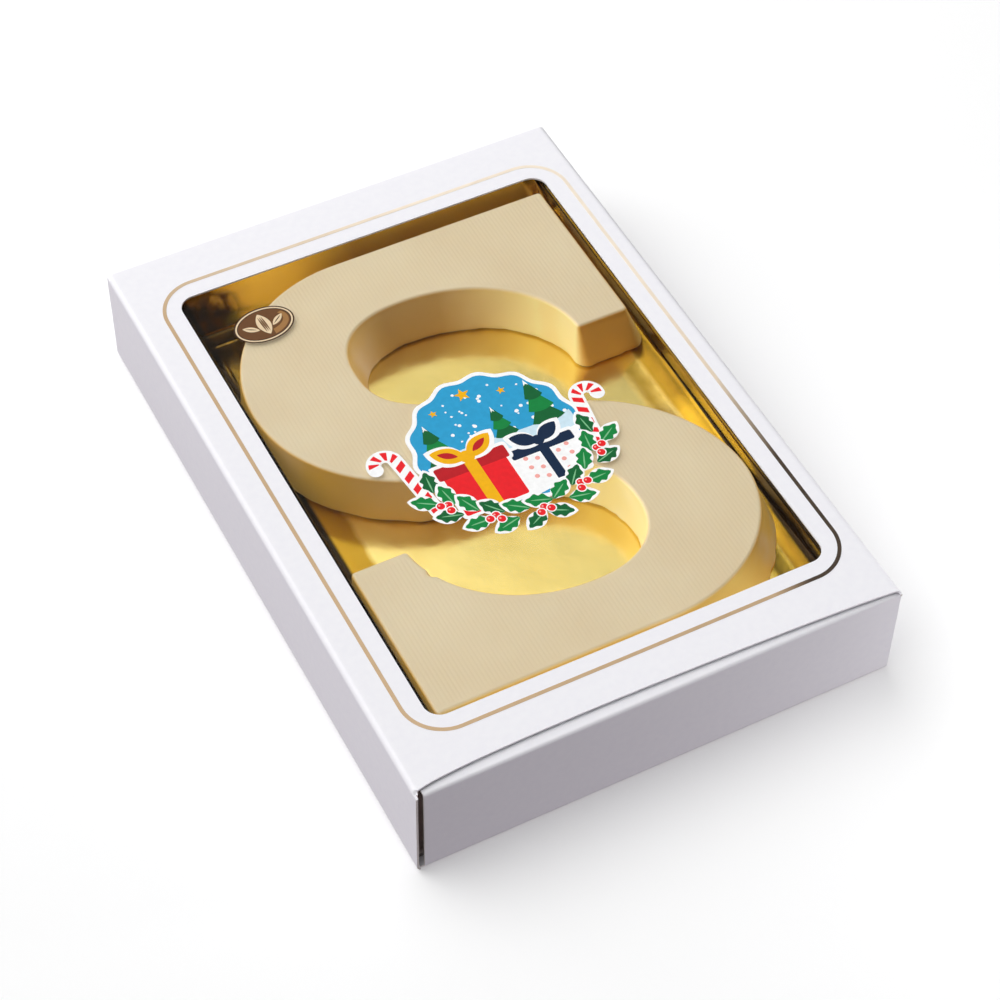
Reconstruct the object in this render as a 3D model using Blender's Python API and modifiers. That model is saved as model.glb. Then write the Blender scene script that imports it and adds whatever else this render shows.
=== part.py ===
"""A boxed chocolate letter: a shut window carton with a white chocolate S on a gold card insert.

Metres, +Z up. The origin is the middle of the carton's underside. +Y points to the top of the letter,
so the tucked end that faces the reader is at -Y.
"""

import math

import bmesh
import bpy
from mathutils import Vector

MM = 0.001

# Driving sizes, in millimetres.
CARTON_WIDTH = 150.0
CARTON_LENGTH = 212.0
CARTON_HEIGHT = 35.6
BOARD = 0.6
GAP = 0.3
CUTTER_MARGIN = 5.0
LETTER_HEIGHT = 15.6
LETTER_HALF_WIDTH = 59.6
LETTER_HALF_LENGTH = 82.5

# Carton folds and closures.
FOLD_RADIUS = 1.0
TUCK_RADIUS = 2.4
TUCK_TONGUE = 13.0
TONGUE_GAP = 0.2
LID_SETBACK = 0.5
LEFT_SLIT = 1.5
SIDE_CLEARANCE = 0.3
LID_CORNER_CUT = 1.5

# Window in the lid and the film behind it.
WINDOW_WIDTH = 123.7
WINDOW_LENGTH = 172.0
WINDOW_CENTRE = (1.35, 0.2)
WINDOW_RADIUS = 5.0
FILM_THICKNESS = 0.25
FILM_OVERLAP = 4.0
FILM_CORNER = 2.0

# Gold card insert: a rim under the lid, a well for the letter and a skirt that stands on the base.
CARD = 0.5
WELL_LEFT = -58.8
WELL_RIGHT_FLOOR = 68.0
WELL_RIGHT_RIM = 62.6
WELL_FRONT = -88.2
WELL_BACK_FLOOR = 85.2
WELL_BACK_RIM = 88.4
INSERT_FOLD = 1.2
SKIRT_CLEARANCE = 0.4
LETTER_BELOW_RIM = 0.5

# Letter placing, side slope and edge rounding.
LETTER_CENTRE = (1.56, -1.14)
DRAFT = 3.0
LEAN = (2.5, -0.6)
TOP_ROUND = 2.0
CORNER_ROUND = 2.4
TOE_ROUND = 0.6
BOWL_STEPS, MOUTH_STEPS, COUNTER_STEPS = 16, 14, 12

# Heights that follow from the sizes above.
LID_UNDERSIDE = CARTON_HEIGHT - BOARD
FILM_TOP = LID_UNDERSIDE - GAP
FILM_UNDERSIDE = FILM_TOP - FILM_THICKNESS
RIM_TOP = LID_UNDERSIDE - TONGUE_GAP - BOARD - GAP
LETTER_TOP = RIM_TOP - LETTER_BELOW_RIM
LETTER_BASE = LETTER_TOP - LETTER_HEIGHT
WELL_FLOOR = LETTER_BASE - GAP
SKIRT_FOOT = BOARD + GAP
SKIRT_HALF_WIDTH = CARTON_WIDTH / 2 - BOARD - SKIRT_CLEARANCE
SKIRT_HALF_LENGTH = CARTON_LENGTH / 2 - BOARD - TUCK_RADIUS - SKIRT_CLEARANCE


def clear_scene():
    for found in list(bpy.data.objects):
        bpy.data.objects.remove(found, do_unlink=True)
    for found in list(bpy.data.collections):
        bpy.data.collections.remove(found)


def new_collection(name):
    made = bpy.data.collections.new(name)
    bpy.context.scene.collection.children.link(made)
    return made


def material(name, colour, roughness, metallic=0.0, alpha=1.0):
    made = bpy.data.materials.new(name)
    made.use_nodes = True
    shader = made.node_tree.nodes["Principled BSDF"]
    shader.inputs["Base Color"].default_value = (*colour, 1.0)
    shader.inputs["Roughness"].default_value = roughness
    shader.inputs["Metallic"].default_value = metallic
    shader.inputs["Alpha"].default_value = alpha
    return made


def add_object(name, mesh, collection, finish=None):
    made = bpy.data.objects.new(name, mesh)
    collection.objects.link(made)
    if finish:
        mesh.materials.append(finish)
    return made


def mesh_from(name, bm):
    bmesh.ops.recalc_face_normals(bm, faces=bm.faces)
    mesh = bpy.data.meshes.new(name)
    bm.to_mesh(mesh)
    bm.free()
    return mesh


def block(low, high):
    """A box between two corners given in millimetres, as a bmesh."""
    bm = bmesh.new()
    bmesh.ops.create_cube(bm, size=1.0)
    for vert in bm.verts:
        vert.co = Vector([(low[i] if vert.co[i] < 0 else high[i]) * MM for i in range(3)])
    return bm


def round_edges(bm, along, radius, segments):
    """Rounds the edges of a box that run along one axis."""
    edges = [e for e in bm.edges if abs((e.verts[0].co - e.verts[1].co).normalized()[along]) > 0.99]
    bmesh.ops.bevel(bm, geom=edges, offset=radius * MM, segments=segments, affect="EDGES", profile=0.5)


def hide_cutter(cutter):
    cutter.hide_render = True
    cutter.display_type = "WIRE"


def boolean(target, cutter, operation):
    hide_cutter(cutter)
    modifier = target.modifiers.new(cutter.name, "BOOLEAN")
    modifier.operation = operation
    modifier.object = cutter
    modifier.solver = "EXACT"


def bevel(target, width, segments, angle=30.0):
    modifier = target.modifiers.new("folds", "BEVEL")
    modifier.width = width * MM
    modifier.segments = segments
    modifier.limit_method = "ANGLE"
    modifier.angle_limit = math.radians(angle)


def solidify(target, thickness, offset):
    modifier = target.modifiers.new("card", "SOLIDIFY")
    modifier.thickness = thickness * MM
    modifier.offset = offset
    modifier.use_even_offset = True


def tuck_profile():
    """Middle line of an end panel in (y, z): up from the base fold, round the tuck fold and inwards."""
    radius = TUCK_RADIUS - BOARD / 2
    y_panel = -CARTON_LENGTH / 2 + BOARD / 2
    z_tongue = LID_UNDERSIDE - TONGUE_GAP - BOARD / 2
    points = [(y_panel, BOARD / 2), (y_panel, z_tongue - radius)]
    steps = 6
    for step in range(1, steps + 1):
        turn = math.pi / 2 * step / steps
        points.append((y_panel + radius * (1 - math.cos(turn)), z_tongue - radius + radius * math.sin(turn)))
    points.append((y_panel + TUCK_TONGUE, z_tongue))
    return points


def end_panel(name, left_gap, right_gap, collection):
    """The closing panel of one end with its tuck fold, made as a bent sheet and given the board's thickness."""
    low_x = -CARTON_WIDTH / 2 + BOARD + left_gap
    high_x = CARTON_WIDTH / 2 - BOARD - right_gap
    bm = bmesh.new()
    profile = [bm.verts.new((low_x * MM, y * MM, z * MM)) for y, z in tuck_profile()]
    edges = [bm.edges.new(pair) for pair in zip(profile, profile[1:])]
    swept = bmesh.ops.extrude_edge_only(bm, edges=edges)["geom"]
    moved = [part for part in swept if isinstance(part, bmesh.types.BMVert)]
    bmesh.ops.translate(bm, vec=((high_x - low_x) * MM, 0, 0), verts=moved)
    panel = add_object(name, mesh_from(name, bm), collection)
    solidify(panel, BOARD, 0.0)
    return panel


def make_carton(parts, cutters, finish):
    """The shut carton as one folded board: a tube with a window in its lid, and a tucked panel at each end."""
    half_w, half_l = CARTON_WIDTH / 2, CARTON_LENGTH / 2
    past_w, past_l, past_top = half_w + CUTTER_MARGIN, half_l + CUTTER_MARGIN, CARTON_HEIGHT + CUTTER_MARGIN
    below_lid = LID_UNDERSIDE - BOARD
    outer = block((-half_w, -half_l, 0), (half_w, half_l, CARTON_HEIGHT))
    round_edges(outer, 1, FOLD_RADIUS, 4)
    carton = add_object("carton", mesh_from("carton", outer), parts, finish)

    inner = block((-half_w + BOARD, -past_l, BOARD), (half_w - BOARD, past_l, LID_UNDERSIDE))
    round_edges(inner, 1, FOLD_RADIUS - BOARD, 3)
    bore = add_object("carton_bore", mesh_from("carton_bore", inner), cutters)
    boolean(carton, bore, "DIFFERENCE")

    cx, cy = WINDOW_CENTRE
    opening = block((cx - WINDOW_WIDTH / 2, cy - WINDOW_LENGTH / 2, LID_UNDERSIDE - CUTTER_MARGIN),
                    (cx + WINDOW_WIDTH / 2, cy + WINDOW_LENGTH / 2, past_top))
    round_edges(opening, 2, WINDOW_RADIUS, 8)
    window = add_object("window_cut", mesh_from("window_cut", opening), cutters)
    boolean(carton, window, "DIFFERENCE")

    for side in (-1, 1):
        name = "front" if side < 0 else "back"
        lid_edge = block((-past_w, -past_l, below_lid), (past_w, -half_l + LID_SETBACK, past_top))
        trim = add_object(f"lid_edge_{name}", mesh_from(f"lid_edge_{name}", lid_edge), cutters)
        corner = block((-LID_CORNER_CUT, -LID_CORNER_CUT, below_lid), (LID_CORNER_CUT, LID_CORNER_CUT, past_top))
        nick = add_object(f"lid_corner_{name}", mesh_from(f"lid_corner_{name}", corner), cutters)
        nick.location = (-half_w * MM, side * half_l * MM, 0)
        nick.rotation_euler = (0, 0, math.radians(45))
        if side > 0:
            trim.rotation_euler = (0, 0, math.pi)
        boolean(carton, trim, "DIFFERENCE")
        boolean(carton, nick, "DIFFERENCE")

    front = end_panel("end_panel_front", LEFT_SLIT, SIDE_CLEARANCE, cutters)
    back = end_panel("end_panel_back", SIDE_CLEARANCE, SIDE_CLEARANCE, cutters)
    back.rotation_euler = (0, 0, math.pi)
    boolean(carton, front, "UNION")
    boolean(carton, back, "UNION")
    return carton


def make_film(parts, finish):
    """The clear sheet behind the window, a little larger than the opening."""
    cx, cy = WINDOW_CENTRE
    half_w = WINDOW_WIDTH / 2 + FILM_OVERLAP
    half_l = WINDOW_LENGTH / 2 + FILM_OVERLAP
    sheet = block((cx - half_w, cy - half_l, FILM_UNDERSIDE), (cx + half_w, cy + half_l, FILM_TOP))
    round_edges(sheet, 2, FILM_CORNER, 4)
    return add_object("window_film", mesh_from("window_film", sheet), parts, finish)


def make_insert(parts, finish):
    """The gold card: a cube without a bottom, its top inset to a rim, and the inset face sunk to the floor."""
    bm = block((-SKIRT_HALF_WIDTH, -SKIRT_HALF_LENGTH, SKIRT_FOOT), (SKIRT_HALF_WIDTH, SKIRT_HALF_LENGTH, RIM_TOP))
    base = min(bm.faces, key=lambda face: face.calc_center_median().z)
    bmesh.ops.delete(bm, geom=[base], context="FACES_ONLY")
    top = max(bm.faces, key=lambda face: face.calc_center_median().z)
    bmesh.ops.inset_individual(bm, faces=[top], thickness=(SKIRT_HALF_WIDTH - WELL_RIGHT_RIM) * MM)
    for vert in top.verts:
        x = WELL_LEFT if vert.co.x < 0 else WELL_RIGHT_RIM
        y = WELL_FRONT if vert.co.y < 0 else WELL_BACK_RIM
        vert.co = Vector((x, y, RIM_TOP)) * MM
    floor = bmesh.ops.extrude_discrete_faces(bm, faces=[top])["faces"][0]
    for vert in floor.verts:
        x = WELL_LEFT if vert.co.x < 0 else WELL_RIGHT_FLOOR
        y = WELL_FRONT if vert.co.y < 0 else WELL_BACK_FLOOR
        vert.co = Vector((x, y, WELL_FLOOR)) * MM
    insert = add_object("gold_insert", mesh_from("gold_insert", bm), parts, finish)
    bevel(insert, INSERT_FOLD, 3)
    solidify(insert, CARD, -1.0)
    return insert


def arc(centre, radii, start, end, steps, power=2.0):
    """Points on a superellipse between two angles in degrees; power 2 is an ellipse."""
    points = []
    for step in range(steps + 1):
        angle = math.radians(start + (end - start) * step / steps)
        c, s = math.cos(angle), math.sin(angle)
        x = math.copysign(abs(c) ** (2 / power), c)
        y = math.copysign(abs(s) ** (2 / power), s)
        points.append((centre[0] + radii[0] * x, centre[1] + radii[1] * y))
    return points


def bezier(p0, p1, p2, p3, steps):
    points = []
    for step in range(steps + 1):
        t = step / steps
        weights = ((1 - t) ** 3, 3 * t * (1 - t) ** 2, 3 * t * t * (1 - t), t ** 3)
        points.append(tuple(sum(w * p[i] for w, p in zip(weights, (p0, p1, p2, p3))) for i in range(2)))
    return points


def letter_outline():
    """The letter's flat outline, counter-clockwise round its own centre, with its corners still sharp."""
    w, h = LETTER_HALF_WIDTH, LETTER_HALF_LENGTH
    upper_tip, upper_end = w - 0.25, 25.5
    lower_tip, lower_end = -w + 0.3, -28.6
    bowl_left, bowl_right = (-12.65, 36.85), (14.0, -43.3)
    mouth_width, upper_mouth, lower_mouth = 42.5, 33.2, 35.4
    mouth_start, mouth_angle = (42.0, upper_end), 175
    counter_width, upper_counter, lower_counter = 25.0, 20.7, 20.9
    counter_left, counter_right = (-25.5, 38.0), (25.5, -40.0)
    spine_top_left, spine_top_right, spine_bottom = (-8.0, 16.5), (30.0, -1.0), (-8.0, -11.0)

    path = [mouth_start, (upper_tip, upper_end), (upper_tip, h)]
    path += arc(bowl_left, (w + bowl_left[0], h - bowl_left[1]), 90, 180, BOWL_STEPS)
    path += bezier((-w, bowl_left[1]), (-w, 10.0), (-36.0, -10.0), spine_bottom, BOWL_STEPS)[1:]
    path += bezier(spine_bottom, (12.0, -12.0), (25.5, -25.0), counter_right, COUNTER_STEPS)[1:]
    path += arc((0.5, counter_right[1]), (counter_width, lower_counter), 0, -90, COUNTER_STEPS, 2.3)[1:]
    path += arc((0.5, -25.5), (mouth_width, lower_mouth), -90, -mouth_angle, MOUTH_STEPS)[1:]
    path += [(lower_tip, lower_end), (lower_tip, -h)]
    path += arc(bowl_right, (w - bowl_right[0], h + bowl_right[1]), -90, 0, BOWL_STEPS)
    path += bezier((w, bowl_right[1]), (w, -27.0), (48.0, -9.0), spine_top_right, MOUTH_STEPS)[1:]
    path += bezier(spine_top_left, (-21.0, 22.3), (-25.5, 27.0), counter_left, 8)
    path += arc((-0.5, counter_left[1]), (counter_width, upper_counter), 180, 90, COUNTER_STEPS, 2.4)[1:]
    path += arc((-0.5, upper_end), (mouth_width, upper_mouth), 90, 0, MOUTH_STEPS)[1:-1]
    return path


def turn_at(points, index):
    """The outline's change of direction at one point, in degrees."""
    before, here, after = points[index - 1], points[index], points[(index + 1) % len(points)]
    first = math.atan2(here[1] - before[1], here[0] - before[0])
    second = math.atan2(after[1] - here[1], after[0] - here[0])
    return abs(math.degrees((second - first + math.pi) % (2 * math.pi) - math.pi))


def rounded(points, radius, steps=4):
    """The outline with each sharp corner turned into a round arc."""
    result = []
    for index, corner in enumerate(points):
        half_turn = math.radians(turn_at(points, index)) / 2
        if half_turn < math.radians(20):
            result.append(corner)
            continue
        corner = Vector(corner)
        back = (Vector(points[index - 1]) - corner).normalized()
        on = (Vector(points[(index + 1) % len(points)]) - corner).normalized()
        centre = corner + (back + on).normalized() * radius / math.cos(half_turn)
        reach = radius * math.tan(half_turn)
        start, end = corner + back * reach - centre, corner + on * reach - centre
        for step in range(steps + 1):
            result.append(tuple(centre + start.slerp(end, step / steps).normalized() * radius))
    return result


def grown(points, distance):
    """The outline moved outwards along its own normals, or inwards where the distance is negative."""
    result = []
    for index, here in enumerate(points):
        before, after = Vector(points[index - 1]), Vector(points[(index + 1) % len(points)])
        here = Vector(here)
        first, second = (here - before).normalized(), (after - here).normalized()
        bisector = (Vector((first.y, -first.x)) + Vector((second.y, -second.x))).normalized()
        stretch = 1 / max(0.5, bisector.dot(Vector((first.y, -first.x))))
        result.append(tuple(here + bisector * distance * stretch))
    return result


def letter_sections():
    """Heights above the letter's foot, each with how far the outline has grown there and how far it leans."""
    wall_top = LETTER_HEIGHT - TOP_ROUND
    sections = [(0.0, DRAFT - TOE_ROUND, 1.0), (TOE_ROUND, DRAFT * (1 - TOE_ROUND / wall_top), 0.95)]
    sections.append((wall_top * 0.5, DRAFT * 0.5, 0.5))
    steps = 5
    for step in range(steps + 1):
        turn = math.pi / 2 * step / steps
        sections.append((wall_top + TOP_ROUND * math.sin(turn), -TOP_ROUND * (1 - math.cos(turn)), 0.0))
    return sections


def make_letter(parts, finish):
    """The moulded chocolate letter: its outline lofted from a wider foot to a soft-edged flat face."""
    outline = rounded(letter_outline(), CORNER_ROUND)
    bm = bmesh.new()
    rings = []
    for height, growth, lean in letter_sections():
        ring = []
        for x, y in grown(outline, growth):
            x += LETTER_CENTRE[0] + LEAN[0] * lean
            y += LETTER_CENTRE[1] + LEAN[1] * lean
            ring.append(bm.verts.new((x * MM, y * MM, (LETTER_BASE + height) * MM)))
        rings.append(ring)
    count = len(outline)
    for lower, upper in zip(rings, rings[1:]):
        for index in range(count):
            after = (index + 1) % count
            bm.faces.new((lower[index], lower[after], upper[after], upper[index]))
    bm.faces.new(rings[-1])
    bm.faces.new(reversed(rings[0]))
    bm.normal_update()
    bmesh.ops.triangulate(bm, faces=[face for face in bm.faces if len(face.verts) > 4])
    letter = add_object("chocolate_letter", mesh_from("chocolate_letter", bm), parts, finish)
    letter.data.shade_smooth()
    letter.data.set_sharp_from_angle(angle=math.radians(35))
    return letter


def main():
    clear_scene()
    parts = new_collection("boxed_chocolate_letter")
    cutters = new_collection("cutters")
    white_board = material("white_board", (0.86, 0.86, 0.88), 0.38)
    gold_card = material("gold_card", (0.86, 0.62, 0.16), 0.2, metallic=1.0)
    white_chocolate = material("white_chocolate", (0.73, 0.60, 0.39), 0.42)
    clear_film = material("clear_film", (0.95, 0.96, 0.97), 0.06, alpha=0.15)
    make_carton(parts, cutters, white_board)
    make_film(parts, clear_film)
    make_insert(parts, gold_card)
    make_letter(parts, white_chocolate)


main()
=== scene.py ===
"""Dresses the boxed chocolate letter: white board, gold card, clear film, print and chocolate.

The frame is the part's own: metres, +Z up, the origin in the middle of the carton's underside, +Y to the
top of the letter. Sizes below are in millimetres and are turned into metres where a mesh is made.
"""

import random
from math import atan2, copysign, cos, degrees, dist, exp, hypot, pi, radians, sin, sqrt, tan

import bmesh
import bpy
from mathutils import Matrix, Vector, noise


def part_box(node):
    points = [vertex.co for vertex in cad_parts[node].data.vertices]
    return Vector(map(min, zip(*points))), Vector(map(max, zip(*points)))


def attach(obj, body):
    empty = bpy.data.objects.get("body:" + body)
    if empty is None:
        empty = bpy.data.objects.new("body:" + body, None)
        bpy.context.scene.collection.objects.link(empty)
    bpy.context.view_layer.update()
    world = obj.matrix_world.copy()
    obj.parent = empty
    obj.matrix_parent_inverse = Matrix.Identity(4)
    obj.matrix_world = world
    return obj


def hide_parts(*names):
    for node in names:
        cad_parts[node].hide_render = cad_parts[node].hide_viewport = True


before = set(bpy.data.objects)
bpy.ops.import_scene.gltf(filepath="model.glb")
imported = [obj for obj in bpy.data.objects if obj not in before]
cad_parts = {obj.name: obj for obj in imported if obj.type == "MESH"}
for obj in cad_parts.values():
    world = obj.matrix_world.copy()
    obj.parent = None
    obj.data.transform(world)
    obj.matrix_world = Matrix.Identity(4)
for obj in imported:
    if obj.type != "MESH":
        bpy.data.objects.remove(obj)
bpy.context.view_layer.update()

MM = 0.001
# The seed of the gold card's ripples, which would otherwise differ from run to run.
RIPPLE_SEED = 3

# The carton, read from the frame where it can be, and its board.
CARTON_LOW, CARTON_HIGH = (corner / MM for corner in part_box("carton"))
HALF_WIDTH, HALF_LENGTH, HEIGHT = CARTON_HIGH.x, CARTON_HIGH.y, CARTON_HIGH.z
BOARD = 0.6
LID_UNDERSIDE = HEIGHT - BOARD
FOLD_RADIUS = 1.8
TUCK_RADIUS = 1.4
TUCK_DROP, TUCK_RISE = 0.25, 4.5
BASE_FOLD = 0.35
TUCK_TONGUE = 13.0
TONGUE_GAP = 0.2
LID_SETBACK = 0.5
LID_BOW = 3.6
LEFT_SLIT = 1.9
SIDE_CLEARANCE = 0.3
LID_CORNER_CUT = 1.5
WINDOW_SIZE = (123.7, 172.0)
WINDOW_CENTRE = (1.35, 0.2)
WINDOW_RADIUS = 5.0
PAST = 5.0

# Gold line round the window.
LINE_LOW, LINE_HIGH = (-66.7, -91.7), (69.7, 92.5)
LINE_RADIUS = 13.0
LINE_WIDTH = 1.15
LINE_LIFT = 0.06

# Gold card insert.
CARD = 0.5
CARD_FOLD = 1.2
INSERT_LOW, INSERT_HIGH = (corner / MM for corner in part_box("gold_insert"))
WELL_LEFT = -58.8
WELL_RIGHT_FLOOR, WELL_RIGHT_RIM = 68.0, 62.6
WELL_FRONT = -88.2
WELL_BACK_FLOOR, WELL_BACK_RIM = 85.2, 88.4
WELL_FLOOR = 17.5
CREASE_AT = (-52.4, 80.0)
CREASE_WIDTH, CREASE_HEIGHT = 0.45, 0.25
FLOOR_RISE = 0.33

# Planes that divide the sheets, so that they can bend: axis, start, stop and step.
SLEEVE_CUTS = ((0, -72, 72, 6), (0, -74.3, -67, 0.7), (0, 67, 74.3, 0.7), (1, -102, 102, 6), (2, 3, 33, 5))
CARD_CUTS = ((0, -72, 72, 3), (1, -99, 99, 3), (2, 3, 33, 3), (0, -54.2, -50.6, 0.3), (1, 78.2, 81.8, 0.3))

# Letter.
LETTER_LOW, LETTER_HIGH = (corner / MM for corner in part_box("chocolate_letter"))
LETTER_HALF_WIDTH, LETTER_HALF_LENGTH = 59.6, 82.5
LETTER_CENTRE = (1.56, -1.14)
LETTER_HEIGHT = LETTER_HIGH.z - LETTER_LOW.z
DRAFT = 3.0
LEAN = (2.5, -0.6)
TOP_ROUND = 1.1
CORNER_ROUND = 1.3
TOE_ROUND = 0.6
NICK_AT, NICK_DEPTH = 23, 1.03
RIB_PITCH = 1.21
RIB_DEPTH = 0.05
RIB_STEPS = 6

# Film and the print on it.
FILM_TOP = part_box("window_film")[1].z / MM
INK = 0.02
INK_STEP = 0.0012
PRINT_CENTRE = (1.0, -9.0)
BADGE_CENTRE = (-40.5, 66.5)
BADGE_TURN = 4.0

# Camera at the photograph's view, for a square frame.
CAMERA_AZIMUTH, CAMERA_ELEVATION, CAMERA_ROLL = -28.294, 50.244, 1.144
CAMERA_DISTANCE = 781.5
CAMERA_TARGET = (-2.28, -13.7, 17.8)
CAMERA_LENS, CAMERA_SENSOR = 96.43, 36.0

# Studio light: the dome's dim rest, its bright lobe and its lower half, which stands for the light that a
# floor sends back, then three lamps just out of the camera's view: name, place, size, power and aim.
SKY_REST = 0.03
SKY_AIM = (-0.36, 0.28, 0.89)
SKY_EDGE, SKY_CORE = 56.0, 12.0
SKY_STRENGTH = 2.65
BOUNCE = 0.49
BOUNCE_COLOUR = (1.0, 0.915, 1.0, 1.0)
LAMPS = [
    ("lamp_back_left", (-0.28, 0.30, 0.10), 0.15, 0.13, (-0.075, 0.08, 0.02)),
    ("lamp_back", (0.05, 0.42, 0.16), 0.30, 0.30, (0.0, 0.10, 0.035)),
    ("lamp_front_right", (0.22, -0.18, 0.025), 0.04, 0.20, (0.05, -0.106, 0.018)),
]


def tone(code):
    """A colour as in #RRGGBB, turned into the linear values that shaders take."""
    values = [int(code[i:i + 2], 16) / 255 for i in (1, 3, 5)]
    return tuple(v / 12.92 if v <= 0.04045 else ((v + 0.055) / 1.055) ** 2.4 for v in values)


# Materials

WHITE = (1, 1, 1)


class Nodes:
    """A node tree, with short calls for the nodes that this script uses."""

    def __init__(self, owner, coordinates):
        owner.use_nodes = True
        self.nodes, self.links = owner.node_tree.nodes, owner.node_tree.links
        self.place = self.add("TexCoord").outputs[coordinates]

    def feed(self, socket, value):
        """Links a socket to an output, or sets it to a plain value."""
        if isinstance(value, bpy.types.NodeSocket):
            self.links.new(value, socket)
        else:
            socket.default_value = value

    def add(self, kind, *first, operation=None, **named):
        """A new node, with its first inputs fed in order and others fed by name."""
        made = self.nodes.new("ShaderNode" + kind)
        if operation:
            made.operation = operation
        for socket, value in zip(made.inputs, first):
            self.feed(socket, value)
        for name, value in named.items():
            self.feed(made.inputs[name.replace("_", " ")], value)
        return made

    def noise(self, size_mm, detail=3.0, stretch=(1, 1, 1)):
        """Noise whose blotches are about size_mm across, longer along an axis with a smaller stretch."""
        scaled = self.add("VectorMath", self.place, stretch, operation="MULTIPLY").outputs[0]
        return self.add("TexNoise", Vector=scaled, Scale=1 / (size_mm * MM), Detail=detail).outputs["Fac"]

    def ramp(self, value, *stops):
        """Colours by value: stops are (position, colour), each colour a code or linear values."""
        made = self.add("ValToRGB", value)
        elements = made.color_ramp.elements
        while len(elements) < len(stops):
            elements.new(0.5)
        for element, (position, colour) in zip(elements, stops):
            element.position = position
            element.color = (*(tone(colour) if isinstance(colour, str) else colour), 1)
        return made.outputs[0]

    def span(self, value, low, high, from_low=0.3, from_high=0.7):
        """Maps a value from one range, by default a noise's usual one, to another."""
        ends = {"From_Min": from_low, "From_Max": from_high, "To_Min": low, "To_Max": high}
        return self.add("MapRange", value, **ends).outputs[0]

    def rise(self, value, start, end):
        """0 where the value is at start, 1 where it is at end."""
        return self.span(value, 0, 1, start, end)

    def along(self, direction):
        """The place's distance along a direction, in millimetres for a direction of length 1."""
        scaled = [part / MM for part in direction]
        return self.add("VectorMath", self.place, scaled, operation="DOT_PRODUCT").outputs["Value"]

    def axes(self):
        """The place along X, Y and Z in millimetres."""
        return [self.along(axis) for axis in ((1, 0, 0), (0, 1, 0), (0, 0, 1))]

    def facing(self, axis, low, high):
        """How far the surface faces along an axis: 0 where that part of its normal is low, 1 where high."""
        normal = self.add("NewGeometry").outputs["Normal"]
        return self.rise(self.add("SeparateXYZ", normal).outputs[axis], low, high)

    def merge(self, operation, *values):
        """One operation on two or more values, each an output or a plain number."""
        result = values[0]
        for value in values[1:]:
            result = self.add("Math", result, value, operation=operation).outputs[0]
        return result

    def times(self, *values):
        return self.merge("MULTIPLY", *values)

    def plus(self, *values):
        return self.merge("ADD", *values)

    def most(self, *values):
        return self.merge("MAXIMUM", *values)

    def within(self, *limits):
        """1 where each value is past its end, fading to 0 at its start: limits are (value, start, end)."""
        return self.times(*(self.rise(*limit) for limit in limits))

    def blend(self, share, first, second):
        """The first colour where the share is 0, the second where it is 1."""
        made = self.nodes.new("ShaderNodeMix")
        made.data_type = "RGBA"
        for index, value in ((0, share), (6, first), (7, second)):
            self.feed(made.inputs[index], value)
        return made.outputs[2]

    def bumps(self, *heights):
        """A normal with bumps in layers: heights are (value, height in millimetres)."""
        normal = None
        for value, height in heights:
            made = self.add("Bump", Strength=1.0, Distance=height * MM, Height=value)
            if normal:
                self.feed(made.inputs["Normal"], normal)
            normal = made.outputs[0]
        return normal


class Finish(Nodes):
    """A material with its shader and, where it has a size, a mottle that mixes the shades of its colours."""

    def __init__(self, name, *mottle):
        self.material = bpy.data.materials.new(name)
        super().__init__(self.material, "Object")
        self.shader = self.nodes["Principled BSDF"]
        self.mottle = self.noise(*mottle) if mottle else None

    def shades(self, low, high):
        return self.ramp(self.mottle, (0.3, low), (0.7, high))

    def set(self, **values):
        """Feeds the shader's inputs by name, each with an output or a plain value."""
        for name, value in values.items():
            self.feed(self.shader.inputs[name.replace("_", " ")], value)


def white_board():
    """Coated white board: satin, with a faint mottle and the shallow grain of its fibres."""
    made = Finish("white_board", 2.2, 5)
    made.set(Base_Color=made.shades("#EEEDF2", "#F1F0F4"))
    made.set(Roughness=made.span(made.noise(3.0), 0.48, 0.56), Specular_IOR_Level=0.28)
    made.set(Normal=made.bumps((made.noise(0.5), 0.003)))
    return made.material


def board_core():
    """The cut edge of the board: uncoated grey white fibres in thin layers."""
    made = Finish("board_core", 0.25, 4, (0.3, 0.3, 2.0))
    made.set(Base_Color=made.shades("#CFC8C0", "#ECE8E4"), Roughness=made.span(made.mottle, 0.75, 0.9))
    made.set(Normal=made.bumps((made.mottle, 0.03)))
    return made.material


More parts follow.
